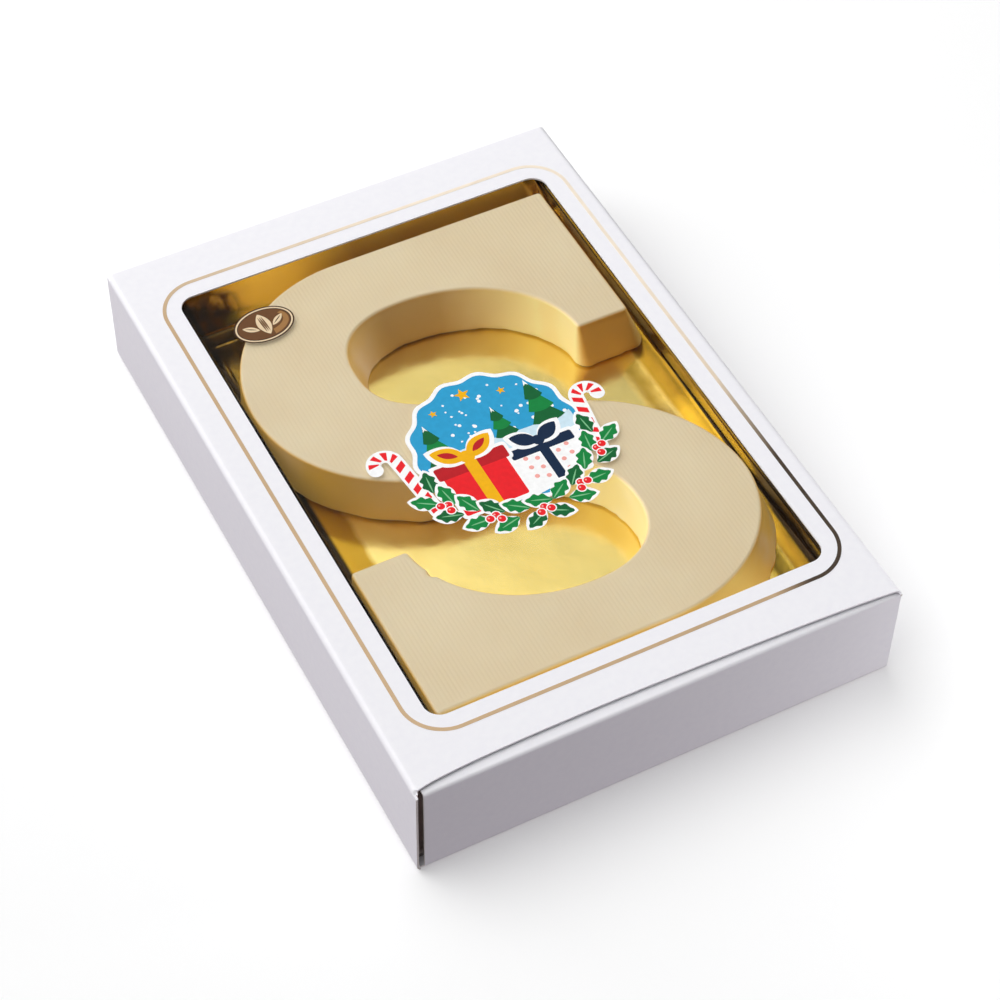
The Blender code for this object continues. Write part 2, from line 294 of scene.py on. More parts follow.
def gold_foil():
    """Metallised gold card: nearly a mirror, slightly cloudy, with a fine board grain below the foil.

    Its zones are fixed to the card: painted reflections, painted shade and a painted glow. They stand for
    what the studio mirrors in the gold.
    """
    made = Finish("gold_foil", 14.0, 4)
    foil = made.shades((0.86, 0.655, 0.20), (0.90, 0.715, 0.245))
    shaded_gold = made.shades((0.46, 0.26, 0.018), (0.53, 0.31, 0.025))
    ends_shade_gold = made.shades((0.25, 0.135, 0.010), (0.29, 0.160, 0.014))
    wall_shade_gold = made.shades((0.15, 0.080, 0.008), (0.19, 0.105, 0.012))
    corner_shade_gold = made.shades((0.10, 0.056, 0.010), (0.17, 0.10, 0.02))
    painted_line_shade = made.shades((0.018, 0.010, 0.004), (0.030, 0.018, 0.008))
    bright_reflection = made.shades((0.92, 0.62, 0.07), (0.95, 0.66, 0.09))
    slit_grey = made.shades((0.72, 0.63, 0.57), (0.82, 0.72, 0.66))

    x, y, z = made.axes()
    left, right = made.along((1, 0, 0.315)), made.along((1, -0.018, 0.511))
    wave = made.span(made.noise(9.0, detail=2), -1.5, 1.5)
    in_well = (x, -67, -66)

    # Painted shade on strips along the well's long sides, the right one dimmer towards its ends.
    left_strip = made.within((made.plus(left, made.times(wave, 0.4)), -38.5, -40.5), in_well)
    right_strip = made.within((x, 60.5, 62), (z, 21.3, 20.3))
    painted_light = made.blend(made.most(left_strip, right_strip), foil, shaded_gold)
    dim = made.most(made.rise(y, -8, -1), made.rise(y, -52, -64))
    painted_light = made.blend(made.times(right_strip, dim), painted_light, ends_shade_gold)

    # The brown painted shade in the corner at the upper left, broken by streaks.
    beside = made.rise(made.plus(left, wave), -35.5, -30.5)
    beyond = made.rise(made.plus(made.along((1, 1, 1.203)), wave), 78.5, 83)
    before = made.rise(made.plus(made.along((0, 1, 0.888)), wave), 76, 64)
    streak = made.span(made.noise(5.0, detail=3, stretch=(1.6, 0.5, 1.0)), 0, 0.75, 0.48, 0.66)
    clear = made.most(beside, beyond, before, streak)
    painted_light = made.blend(made.within((clear, 1, 0), in_well), painted_light, corner_shade_gold)

    # The right wall's painted shade, a painted bright reflection beside the letter's bowl, painted dark lines
    # along the edges and the card at the slit.
    painted_light = made.blend(made.rise(right, 78.4, 79), painted_light, wall_shade_gold)
    painted_light = made.blend(made.within((x, 52, 56), (x, 61.5, 60.5), (y, -52, -60)), painted_light, bright_reflection)
    left_line = made.within((left, -46.3, -47.3), in_well)
    right_line = made.within((right, 76.9, 77.4), (right, 79.4, 78.8))
    front_line = made.within((right, 76.2, 77), (y, -40, -54))
    painted_light = made.blend(made.most(left_line, right_line, front_line), painted_light, painted_line_shade)
    made.set(Base_Color=made.blend(made.rise(x, -69, -70), painted_light, slit_grey))

    # The glow of a pool of light on the back wall and of one spot on the floor.
    shore = made.plus(x, wave)
    pool = made.within((shore, -45, -35), (shore, -2.5, -22.5), (y, 84, 85), (z, 18, 20))
    spot = made.within((x, 53, 57), (x, 63, 60), (y, -6, 0), (y, 21, 16), (z, 19.5, 18.5))
    made.set(Emission_Strength=made.plus(made.times(pool, 0.24), made.times(spot, 0.28)))
    made.set(Emission_Color=(0.95, 0.60, 0.05, 1), Metallic=1.0)
    made.set(Roughness=made.span(made.noise(5.0, detail=4), 0.13, 0.22))
    made.set(Normal=made.bumps((made.noise(11.0, detail=2), 0.05), (made.noise(1.5), 0.010)))
    return made.material


def copper_line():
    """Hot-stamped foil of a pale copper gold with painted reflection: palest at the upper right and dark at
    the lower right.
    """
    made = Finish("copper_line", 5.0, 2)
    copper = made.shades((0.52, 0.36, 0.205), (0.56, 0.39, 0.23))
    pale = made.shades((0.92, 0.80, 0.65), (0.97, 0.86, 0.71))
    dark = made.shades((0.045, 0.028, 0.017), (0.075, 0.048, 0.029))
    # Painted reflection: lighter towards the upper right, dark towards the lower right.
    painted_light = made.blend(made.rise(made.along((1, 0.8, 0)), 0, 100), copper, pale)
    made.set(Base_Color=made.blend(made.rise(made.along((1, -0.35, 0)), 74, 86), painted_light, dark))
    made.set(Roughness=made.span(made.mottle, 0.38, 0.44), Metallic=0.35)
    made.set(Normal=made.bumps((made.mottle, 0.001)))
    return made.material


def white_chocolate():
    """White chocolate: warm ivory, softly mottled, with a fine sugar-dull skin.

    The walls carry painted light: lighter or warmer by the side that they face, darker low down and at the
    foot, with a painted glow; they stand in light sent back by gold.
    """
    made = Finish("white_chocolate", 26.0)
    x, y, z = made.axes()
    to_left = made.times(made.facing("X", -0.2, -0.8), made.rise(x, 0, 14))
    outer = made.times(made.facing("X", -0.3, -0.8), made.rise(x, -10, -20))
    far_side = made.times(made.facing("X", 0.1, 0.6), made.rise(x, 32, 42))
    faces_front, at_front = made.facing("Y", -0.3, -0.9), made.rise(y, -71, -79)
    to_front = made.times(faces_front, at_front)
    ends = made.times(faces_front, made.most(at_front, made.rise(x, 38, 42)))

    # Painted light on the walls: darker low down, painted shade at the foot, then lit and shaded copies by
    # the side that each wall faces.
    lower_wall_shade, upper_wall_light = made.shades("#CCA25E", "#D5AE6B"), made.shades("#D8B478", "#DEBE84")
    side = made.blend(made.rise(z, 20, 31), lower_wall_shade, upper_wall_light)
    foot = made.ramp(made.mottle, (0.5, "#4A2E12"), (1.0, WHITE))
    side = made.blend(made.span(z, 0.75, 0, 17.6, 18.5), side, foot)
    for share, low, high in ((to_left, "#F7E6B2", "#FBEFC4"), (outer, "#D39A28", "#DDA634"),
                             (far_side, "#E0A53C", "#E8B048"), (ends, "#E2A94A", "#E8B65C")):
        side = made.blend(share, side, made.shades(low, high))
    face = made.shades("#D9C6A3", "#DECEAD")
    made.set(Base_Color=made.blend(made.facing("Z", 0.35, 0.95), side, face))

    # A painted glow on the walls, for light sent back by the gold.
    glows = ((made.facing("X", 0.15, 0.75), 0.24), (to_left, 0.20), (to_front, 0.30), (outer, 0.12))
    made.set(Emission_Strength=made.plus(*(made.times(share, strength) for share, strength in glows)))
    warm = made.ramp(made.mottle, (0.5, (1.0, 0.62, 0.14)), (1.0, WHITE))
    pale = made.ramp(made.mottle, (0.5, (1.0, 0.90, 0.28)), (1.0, WHITE))
    made.set(Emission_Color=made.blend(made.most(to_left, made.times(to_front, 0.6)), warm, pale))
    made.set(Roughness=made.span(made.noise(2.5, detail=4), 0.40, 0.52), Specular_IOR_Level=0.4)
    made.set(Normal=made.bumps((made.noise(6.0), 0.05), (made.noise(0.35), 0.006)))
    made.set(Subsurface_Weight=0.12, Subsurface_Radius=(1.0, 0.7, 0.4), Subsurface_Scale=0.0025)
    return made.material


def clear_film():
    """Clear plastic film: seen through, with a faint gloss that grows at low angles."""
    made = Finish("clear_film")
    clear = made.add("BsdfTransparent", Color=(0.99, 0.99, 0.985, 1))
    normal = made.bumps((made.noise(40.0, detail=1), 0.25))
    gloss = made.add("BsdfGlossy", Color=(1, 1, 1, 1), Roughness=0.05, Normal=normal)
    slant = made.merge("POWER", made.add("LayerWeight", Blend=0.5).outputs["Facing"], 5.0)
    share = made.span(slant, 0.0045, 0.8, 0, 1)
    mix = made.add("MixShader", share, clear.outputs[0], gloss.outputs[0])
    made.feed(made.nodes["Material Output"].inputs["Surface"], mix.outputs[0])
    made.nodes.remove(made.shader)
    return made.material


def ink(name, code):
    """Printing ink: one flat field of colour with the faint unevenness of a print."""
    made = Finish(name, 1.6)
    base = tone(code)
    darker = [value * 0.93 for value in base]
    made.set(Base_Color=made.ramp(made.mottle, (0.35, darker), (0.65, base)))
    made.set(Roughness=made.span(made.noise(2.2), 0.45, 0.55), Specular_IOR_Level=0.2)
    made.set(Normal=made.bumps((made.noise(0.4), 0.002)))
    return made.material


# Meshes

def add_object(name, data):
    made = bpy.data.objects.new(name, data)
    bpy.context.scene.collection.objects.link(made)
    return made


def add_mesh(name, bm):
    """Turns a bmesh into an object of the scene."""
    mesh = bpy.data.meshes.new(name)
    bm.to_mesh(mesh)
    bm.free()
    return add_object(name, mesh)


def add_piece(name, bm, *finishes, smooth_angle=32.0):
    """Turns a bmesh in millimetres into a piece that rides on the root body."""
    bmesh.ops.scale(bm, vec=(MM, MM, MM), verts=bm.verts)
    piece = add_mesh(name, bm)
    for finish in finishes:
        piece.data.materials.append(finish)
    piece.data.shade_smooth()
    piece.data.set_sharp_from_angle(angle=radians(smooth_angle))
    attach(piece, "root")
    return piece


def skin(bm, rings, first=0):
    """Faces between neighbouring rings of vertices, or between rows where first is 1."""
    for lower, upper in zip(rings, rings[1:]):
        for index in range(first, len(lower)):
            bm.faces.new((lower[index - 1], lower[index], upper[index], upper[index - 1]))


def block(low, high):
    bm = bmesh.new()
    bmesh.ops.create_cube(bm, size=1.0)
    for vert in bm.verts:
        vert.co = Vector([low[i] if vert.co[i] < 0 else high[i] for i in range(3)])
    return bm


def round_edges(bm, along, radius, segments):
    edges = [e for e in bm.edges if abs((e.verts[0].co - e.verts[1].co).normalized()[along]) > 0.99]
    bmesh.ops.bevel(bm, geom=edges, offset=radius, segments=segments, affect="EDGES", profile=0.5)


def slice_up(bm, axis, start, stop, step, faces=None):
    """Cuts the mesh, or some of its faces, with planes at equal steps along one axis."""
    normal = Vector([1.0 if i == axis else 0.0 for i in range(3)])
    kept = set(faces) if faces else None
    for index in range(int((stop - start) / step) + 1):
        if kept is None:
            geom = bm.verts[:] + bm.edges[:] + bm.faces[:]
        else:
            geom = [*{part for face in kept for part in (*face.verts, *face.edges)}, *kept]
        place = normal * (start + index * step)
        cut = bmesh.ops.bisect_plane(bm, geom=geom, dist=1e-4, plane_co=place, plane_no=normal)
        if kept is not None:
            kept = {part for part in cut["geom"] if isinstance(part, bmesh.types.BMFace)}
    return kept


def cut_away(bm, cutters):
    """Takes the cutters' shapes away from a shape, all of them bmeshes in millimetres."""
    shapes = (bm, *cutters)
    for shape in shapes:
        bmesh.ops.recalc_face_normals(shape, faces=shape.faces)
    target, *tools = [add_mesh("shape", shape) for shape in shapes]
    for tool in tools:
        modifier = target.modifiers.new("cut", "BOOLEAN")
        modifier.operation, modifier.object, modifier.solver = "DIFFERENCE", tool, "EXACT"
    graph = bpy.context.evaluated_depsgraph_get()
    result = bmesh.new()
    result.from_object(target, graph)
    for used in [target, *tools]:
        bpy.data.objects.remove(used, do_unlink=True)
    return result


def arc(centre, radii, start, end, steps, power=2.0):
    """Points on a superellipse between two angles in degrees; power 2 is an ellipse."""
    points = []
    for step in range(steps + 1):
        angle = radians(start + (end - start) * step / steps)
        c, s = cos(angle), sin(angle)
        x = copysign(abs(c) ** (2 / power), c)
        y = copysign(abs(s) ** (2 / power), s)
        points.append((centre[0] + radii[0] * x, centre[1] + radii[1] * y))
    return points


def bezier(p0, p1, p2, p3, steps):
    """Points on a cubic Bezier curve, both ends included."""
    points = []
    for step in range(steps + 1):
        t = step / steps
        weights = ((1 - t) ** 3, 3 * t * (1 - t) ** 2, 3 * t * t * (1 - t), t ** 3)
        points.append(tuple(sum(w * p[i] for w, p in zip(weights, (p0, p1, p2, p3))) for i in range(2)))
    return points


def polar(centre, reach, angle):
    return (centre[0] + reach * cos(angle), centre[1] + reach * sin(angle))


def divided(here, there, steps):
    """Evenly spaced points from one place towards another, which is left out itself."""
    return [tuple(here[i] + (there[i] - here[i]) * step / steps for i in range(2)) for step in range(steps)]


def corner_arcs(low, high, radius, steps):
    """The four corners of a rounded rectangle, counter-clockwise from the upper right."""
    (left, near), (right, far) = ([part + radius for part in low], [part - radius for part in high])
    centres = (((right, far), 0), ((left, far), 90), ((left, near), 180), ((right, near), 270))
    return [arc(centre, (radius, radius), start, start + 90, steps) for centre, start in centres]


def ease(value, low, high):
    """Eases from 0 at low to 1 at high."""
    t = min(1.0, max(0.0, (value - low) / (high - low)))
    return t * t * (3 - 2 * t)


# Carton

def board_warp(point):
    """How far the board strays from flat at a point: a slight bow and ripple of each panel, not of folds."""
    x, y, z = point
    from_side = ease(HALF_WIDTH - abs(x), 1.0, 14.0)
    from_end = ease(HALF_LENGTH - abs(y), 1.0, 20.0)
    from_fold = ease(min(z, HEIGHT - z), 1.0, 14.0)
    ripple = noise.noise(Vector((x, y, z)) / 55.0)
    shift = Vector((0, 0, 0))
    if z > LID_UNDERSIDE - 0.2:
        shift.z = 0.16 * ripple * from_side * (0.4 + 0.6 * from_end) - 0.06 * from_side * from_end
        share = min(1.0, max(0.0, 0.5 + x / (2 * HALF_WIDTH)))
        bow = LID_BOW * sin(pi * share ** 0.6) ** 0.6
        shift.y = bow * ease(-y - HALF_LENGTH, -9.0, -1.0)
    if abs(x) > HALF_WIDTH - 1.2:
        shift.x = copysign((0.30 * ripple - 0.22) * from_fold * from_end, x)
    if abs(y) > HALF_LENGTH - 1.2 and z < LID_UNDERSIDE - 0.2:
        shift.y = copysign((0.22 * ripple - 0.18) * from_fold * from_side, y)
    return shift


def warp(bm, rule):
    for vert in bm.verts:
        vert.co += rule(vert.co.copy())


def make_sleeve(board, core):
    """The folded tube of the carton, with the window, the set-back lid edges and the nicked lid corners."""
    outer = block((-HALF_WIDTH, -HALF_LENGTH, 0), (HALF_WIDTH, HALF_LENGTH, HEIGHT))
    round_edges(outer, 1, FOLD_RADIUS, 7)
    inside = HALF_WIDTH - BOARD
    inner = block((-inside, -HALF_LENGTH - PAST, BOARD), (inside, HALF_LENGTH + PAST, LID_UNDERSIDE))
    round_edges(inner, 1, FOLD_RADIUS - BOARD, 5)
    low = [WINDOW_CENTRE[i] - WINDOW_SIZE[i] / 2 for i in range(2)]
    high = [WINDOW_CENTRE[i] + WINDOW_SIZE[i] / 2 for i in range(2)]
    opening = block((*low, LID_UNDERSIDE - PAST), (*high, HEIGHT + PAST))
    round_edges(opening, 2, WINDOW_RADIUS, 14)
    cutters = [inner, opening]
    wide, lid_low, notch = HALF_WIDTH + PAST, LID_UNDERSIDE - BOARD, LID_CORNER_CUT
    for side in (-1, 1):
        ends = sorted((side * (HALF_LENGTH + PAST), side * (HALF_LENGTH - LID_SETBACK)))
        edge = block((-wide, ends[0], lid_low), (wide, ends[1], HEIGHT + PAST))
        corner = block((-notch, -notch, lid_low), (notch, notch, HEIGHT + PAST))
        bmesh.ops.rotate(corner, matrix=Matrix.Rotation(radians(45), 3, "Z"), verts=corner.verts)
        bmesh.ops.translate(corner, vec=(-HALF_WIDTH, side * HALF_LENGTH, 0), verts=corner.verts)
        cutters += [edge, corner]
    front = -HALF_LENGTH
    panel_foot, panel_back = front + BASE_FOLD + BOARD / 2, front + BOARD + 0.05
    under_panel = block((1.0 - HALF_WIDTH, front - PAST, -PAST), (wide, panel_foot, BOARD + 0.2))
    beside_panel = block((HALF_WIDTH - 1.2, front - PAST, -PAST), (wide, panel_back, HEIGHT - 2.0))
    sleeve = cut_away(outer, [*cutters, under_panel, beside_panel])
    for cut in SLEEVE_CUTS:
        slice_up(sleeve, *cut)
    warp(sleeve, board_warp)
    sleeve.normal_update()
    for face in sleeve.faces:
        middle, normal = face.calc_center_median(), face.normal
        at_end = abs(middle.y) > HALF_LENGTH - 5 and middle.z < LID_UNDERSIDE - 0.3
        inner_edge = abs(normal.z) < 0.3 and abs(middle.x) < HALF_WIDTH - 1.5
        if at_end and (abs(normal.y) > 0.5 or inner_edge):
            face.material_index = 1
    return add_piece("carton_sleeve", sleeve, board, core, smooth_angle=28.0)


def end_profile():
    """Middle line of an end panel in (y, z): up from the base fold, round the tuck fold and inwards."""
    radius = TUCK_RADIUS - BOARD / 2
    y_panel = -HALF_LENGTH + BOARD / 2
    z_tongue = LID_UNDERSIDE - TONGUE_GAP - BOARD / 2
    foot = arc((y_panel + BASE_FOLD, BOARD / 2 + BASE_FOLD), (BASE_FOLD, BASE_FOLD), 270, 180, 5)
    tuck = arc((y_panel + radius, z_tongue - TUCK_DROP - radius), (radius, radius), 180, 90, 8)
    crest, tip = (y_panel + radius + TUCK_RISE, z_tongue), (y_panel + TUCK_TONGUE, z_tongue)
    panel, rising, flat = divided(foot[-1], tuck[0], 8), divided(tuck[-1], crest, 4), divided(crest, tip, 3)
    return foot[:-1] + panel + tuck[:-1] + rising + flat + [tip]


def make_end_panel(name, side, left_gap, right_gap, board, core):
    """One end of the carton: a panel folded over at the top into a tongue under the lid."""
    low_x, high_x = -HALF_WIDTH + BOARD + left_gap, HALF_WIDTH - BOARD - right_gap
    tongue_x = min(high_x, HALF_WIDTH - BOARD - SIDE_CLEARANCE)
    across = 28
    bm = bmesh.new()
    rows = []
    for y, z in end_profile():
        inward = ease(y + HALF_LENGTH, 0.35, 1.6) if z > BOARD + BASE_FOLD else 0.0
        reach = high_x + (tongue_x - high_x) * inward - low_x
        points = [Vector((low_x + reach * index / across, y, z)) for index in range(across + 1)]
        rows.append([bm.verts.new(point + board_warp(point)) for point in points])
    skin(bm, rows, first=1)
    bm.normal_update()
    bmesh.ops.solidify(bm, geom=bm.faces[:], thickness=BOARD)
    bm.normal_update()
    bmesh.ops.translate(bm, vec=(0, -HALF_LENGTH - min(v.co.y for v in bm.verts) + 0.05, 0), verts=bm.verts)
    if side > 0:
        bmesh.ops.rotate(bm, matrix=Matrix.Rotation(pi, 3, "Z"), verts=bm.verts)
    for face in bm.faces:
        face.material_index = 1 if abs(face.normal.x) > 0.7 else 0
    return add_piece(name, bm, board, core)


def make_carton():
    board, core = white_board(), board_core()
    sleeve = make_sleeve(board, core)
    front = make_end_panel("front_panel", -1, LEFT_SLIT, -BOARD + 0.02, board, core)
    back = make_end_panel("back_panel", 1, SIDE_CLEARANCE, SIDE_CLEARANCE, board, core)
    for piece in (sleeve, front, back):
        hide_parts("carton")


def rounded_loop(low, high, radius, spacing):
    """A rounded rectangle as evenly spaced points, counter-clockwise."""
    arcs = corner_arcs(low, high, radius, 18)
    loop = []
    for here, after in zip(arcs, arcs[1:] + arcs[:1]):
        steps = int(dist(here[-1], after[0]) / spacing)
        loop += here + divided(here[-1], after[0], steps)[1:]
    return loop


def make_line():
    """The stamped line round the window: a thin ribbon that lies on the lid."""
    bm = bmesh.new()
    edge = LINE_WIDTH / 2
    rings = []
    for reach, lift in ((edge, -0.1), (edge, LINE_LIFT), (-edge, LINE_LIFT), (-edge, -0.1)):
        low = [LINE_LOW[i] + edge - reach for i in range(2)]
        high = [LINE_HIGH[i] - edge + reach for i in range(2)]
        loop = rounded_loop(low, high, LINE_RADIUS - edge + reach, 3.0)
        rings.append([bm.verts.new((x, y, HEIGHT + board_warp((x, y, HEIGHT)).z + lift)) for x, y in loop])
    skin(bm, rings + rings[:1])
    bmesh.ops.recalc_face_normals(bm, faces=bm.faces)
    line = add_piece("gold_line", bm, copper_line())


# Gold card insert

def card_warp(point):
    """Shallow ripples of the gold card, stronger near its corners, where the card was pressed in."""
    x, y, z = point
    corner = ease(hypot(x + 60, y - 86), 34.0, 4.0)
    corner += 0.6 * ease(hypot(x - 62, y + 86), 30.0, 4.0)
    wide = noise.noise_vector(point / 38.0) * 0.22
    small = noise.noise_vector(point / 9.0) * (0.035 + 0.12 * corner)
    lift = 0.0
    if z < WELL_FLOOR + 1.0 and x < -40.0 and y > 60.0:
        to_x, to_y = (exp(-((part - at) / CREASE_WIDTH) ** 2) for part, at in zip((x, y), CREASE_AT))
        along_x = to_y * ease(-x, 41.0, 45.0) * ease(-x, 55.0, 52.4)
        along_y = to_x * ease(y, 62.0, 67.0) * ease(y, 83.0, 80.0)
        lift = CREASE_HEIGHT * max(along_x, along_y)
    if x > 0:
        lift = max(0.0, min(x, 67.6) - 61.0) * FLOOR_RISE * ease(z, 22.0, WELL_FLOOR + 1.5)
    return wide + small + Vector((0, 0, lift))


def make_insert():
    """The gold card: a box without a bottom, its top sunk into a well, with soft folds and ripples."""
    bm = block(INSERT_LOW, INSERT_HIGH)
    base = min(bm.faces, key=lambda face: face.calc_center_median().z)
    bmesh.ops.delete(bm, geom=[base], context="FACES_ONLY")
    top = max(bm.faces, key=lambda face: face.calc_center_median().z)
    bmesh.ops.inset_individual(bm, faces=[top], thickness=8.0)
    for vert in top.verts:
        vert.co.x = WELL_LEFT if vert.co.x < 0 else WELL_RIGHT_RIM
        vert.co.y = WELL_FRONT if vert.co.y < 0 else WELL_BACK_RIM
    floor = bmesh.ops.extrude_discrete_faces(bm, faces=[top])["faces"][0]
    for vert in floor.verts:
        vert.co.x = WELL_LEFT if vert.co.x < 0 else WELL_RIGHT_FLOOR
        vert.co.y = WELL_FRONT if vert.co.y < 0 else WELL_BACK_FLOOR
        vert.co.z = WELL_FLOOR
    folds = [edge for edge in bm.edges if not edge.is_boundary]
    bmesh.ops.bevel(bm, geom=folds, offset=CARD_FOLD, segments=5, affect="EDGES", profile=0.5)
    for cut in CARD_CUTS:
        slice_up(bm, *cut)
    warp(bm, card_warp)
    bmesh.ops.recalc_face_normals(bm, faces=bm.faces)
    bm.normal_update()
    insert = add_piece("gold_tray", bm, gold_foil(), smooth_angle=60.0)
    thickness = insert.modifiers.new("card", "SOLIDIFY")
    thickness.thickness = CARD * MM
    thickness.offset = -1.0
    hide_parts("gold_insert")


# Chocolate letter

def letter_outline():
    """The letter's flat outline, counter-clockwise round its own centre, with its corners still sharp."""
    w, h = LETTER_HALF_WIDTH, LETTER_HALF_LENGTH
    terminal_x = 42.0
    upper_end, lower_end = 25.5, -28.6
    bowl_left = (-12.65, 36.85)
    bowl_right = (14.0, -43.3)
    spine_top_left, spine_top_right = (-8.0, 16.5), (30.0, -1.0)
    spine_bottom = (-8.0, -11.0)
    counter_left, counter_right = (-25.5, 38.0), (25.5, -40.0)

    path = [(terminal_x, upper_end), (w - 0.25, upper_end), (w - 0.25, h)]
    path += arc(bowl_left, (w + bowl_left[0], h - bowl_left[1]), 90, 180, 40)
    path += bezier((-w, bowl_left[1]), (-w, 10.0), (-36.0, -10.0), spine_bottom, 44)[1:]
    path += bezier(spine_bottom, (12.0, -12.0), (25.5, -25.0), counter_right, 30)[1:]
    path += arc((0.5, counter_right[1]), (25.0, 20.9), 0, -90, 30, 2.3)[1:]
    inner_rim = arc((0.5, -25.5), (42.5, 35.4), -90, -175, 30)[1:]
    nick = zip((0.5, -25.5), inner_rim[NICK_AT])
    inner_rim[NICK_AT] = tuple(middle + (part - middle) * NICK_DEPTH for middle, part in nick)
    path += inner_rim
    path += [(-w + 0.3, lower_end), (-w + 0.3, -h)]
    path += arc(bowl_right, (w - bowl_right[0], h + bowl_right[1]), -90, 0, 40)
    path += bezier((w, bowl_right[1]), (w, -27.0), (48.0, -9.0), spine_top_right, 40)[1:]
    path += bezier(spine_top_left, (-21.0, 22.3), (-25.5, 27.0), counter_left, 22)
    path += arc((-0.5, counter_left[1]), (25.0, 20.7), 180, 90, 30, 2.4)[1:]
    path += arc((-0.5, upper_end), (42.5, 33.2), 90, 0, 30)[1:-1]
    return path


def turn_at(points, index):
    """The outline's change of direction at one point, in degrees."""
    before, here, after = points[index - 1], points[index], points[(index + 1) % len(points)]
    first = atan2(here[1] - before[1], here[0] - before[0])
    second = atan2(after[1] - here[1], after[0] - here[0])
    return abs(degrees((second - first + pi) % (2 * pi) - pi))


def walk(points, start, reach, step):
    """The place on the outline at a distance from a point, forwards or backwards."""
    here, index = Vector(points[start]), start
    while True:
        index = (index + step) % len(points)
        there = Vector(points[index])
        length = (there - here).length
        if length >= reach:
            return here + (there - here) * reach / length, index
        reach -= length
        here = there


def rounded(points, radius, steps=7):
    """The outline with each sharp corner turned into a smooth curve of about this radius."""
    sharp = [index for index in range(len(points)) if turn_at(points, index) > 40]
    skipped, curves = set(), {}
    for index in sharp:
        reach = radius * tan(radians(turn_at(points, index)) / 2)
        start, before = walk(points, index, reach, -1)
        end, after = walk(points, index, reach, 1)
        corner = Vector(points[index])
        number = (before + 1) % len(points)
        while number != after:
            skipped.add(number)
            number = (number + 1) % len(points)
        pull = 0.5523
        first, second = start + (corner - start) * pull, end + (corner - end) * pull
        curves[index] = bezier(start, first, second, end, steps)
    result = []
    for index, point in enumerate(points):
        if index in curves:
            result += curves[index]
        elif index not in skipped:
            result.append(point)
    return result


def evened(points, spacing):
    """The closed outline with its long stretches divided."""
    result = []
    for here, after in zip(points, points[1:] + points[:1]):
        result += divided(here, after, max(1, round(dist(here, after) / spacing)))
    return result


def grown(points, distance):
    """The outline moved outwards along its own normals, or inwards where the distance is negative."""
    result = []
    for index, here in enumerate(points):
        before, after = Vector(points[index - 1]), Vector(points[(index + 1) % len(points)])
        here = Vector(here)
        first, second = (here - before).normalized(), (after - here).normalized()
        bisector = (Vector((first.y, -first.x)) + Vector((second.y, -second.x))).normalized()
        stretch = 1 / max(0.5, bisector.dot(Vector((first.y, -first.x))))
        result.append(tuple(here + bisector * distance * stretch))
    return result


def letter_sections():
    """Heights above the letter's foot, each with the outline's growth and its share of the lean there."""
    wall_top = LETTER_HEIGHT - TOP_ROUND
    sections = [(-0.25, DRAFT - TOE_ROUND, 1.0)]
    for step in range(1, 4):
        share = step / 3
        sections.append((TOE_ROUND * share, DRAFT - TOE_ROUND * (1 - sin(share * pi / 2)), 1.0))
    for step in range(1, 9):
        share = step / 9
        height = TOE_ROUND + (wall_top - TOE_ROUND) * share
        sections.append((height, DRAFT * (1 - share), 1 - share))
    shoulder = arc((-TOP_ROUND, wall_top), (TOP_ROUND, TOP_ROUND), 0, 90, 9)
    return sections + [(height, growth, 0.0) for growth, height in shoulder]


def foot_wear(x, y, height):
    """How far the moulded foot strays in or out: ragged right at the bottom, nearly true above."""
    ragged = noise.noise(Vector((x, y, 3.0)) / 1.7) * 0.5 + noise.noise(Vector((x, y, 8.0)) / 5.0)
    wobble = noise.noise(Vector((x, y, height * 2)) / 16.0) * 0.22
    low = 1 - ease(height, 0.2, 1.4)
    return wobble * ease(LETTER_HEIGHT - height, 0.0, 5.0) + ragged * 0.55 * low


def make_letter():
    """The moulded letter: lofted walls, a soft shoulder and a face with fine ribs along Y."""
    outline = evened(rounded(letter_outline(), CORNER_ROUND), 1.6)
    bm = bmesh.new()
    rings = []
    for height, growth, lean in letter_sections():
        ring = []
        for (px, py), (x, y) in zip(outline, grown(outline, growth)):
            if growth > 0.3:
                out = Vector((x, y)) - Vector((px, py))
                x, y = Vector((x, y)) + out.normalized() * foot_wear(px, py, height)
            x += LETTER_CENTRE[0] + LEAN[0] * lean
            y += LETTER_CENTRE[1] + LEAN[1] * lean
            ring.append(bm.verts.new((x, y, LETTER_LOW.z + height)))
        rings.append(ring)
    rings.append([bm.verts.new((x + LETTER_CENTRE[0], y + LETTER_CENTRE[1], LETTER_HIGH.z))
                  for x, y in grown(outline, -TOP_ROUND - 0.3)])
    skin(bm, rings)
    top = bm.faces.new(rings[-1])
    bm.faces.new(reversed(rings[0]))
    bm.normal_update()
    step = RIB_PITCH / RIB_STEPS
    ribbed = slice_up(bm, 0, -58.0, 62.0, step, faces=[top])
    ribbed = slice_up(bm, 1, -84.0, 84.0, 3.0, faces=ribbed)
    faces_up = {vert for face in ribbed for vert in face.verts}
    for vert in faces_up:
        groove = 0.5 - 0.5 * cos(2 * pi * vert.co.x / RIB_PITCH)
        uneven = noise.noise(Vector((vert.co.x, vert.co.y, 0)) / 22.0) * 0.10
        worn = 0.65 + 0.6 * noise.noise(Vector((vert.co.x / 2.4, vert.co.y / 5.0, 7.0)))
        vert.co.z -= RIB_DEPTH * groove * groove * worn + max(0.0, uneven)
    bmesh.ops.triangulate(bm, faces=[face for face in bm.faces if len(face.verts) > 4])
    bmesh.ops.recalc_face_normals(bm, faces=bm.faces)
    letter = add_piece("white_chocolate_letter", bm, white_chocolate(), smooth_angle=50.0)
    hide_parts("chocolate_letter")


# Print on the film

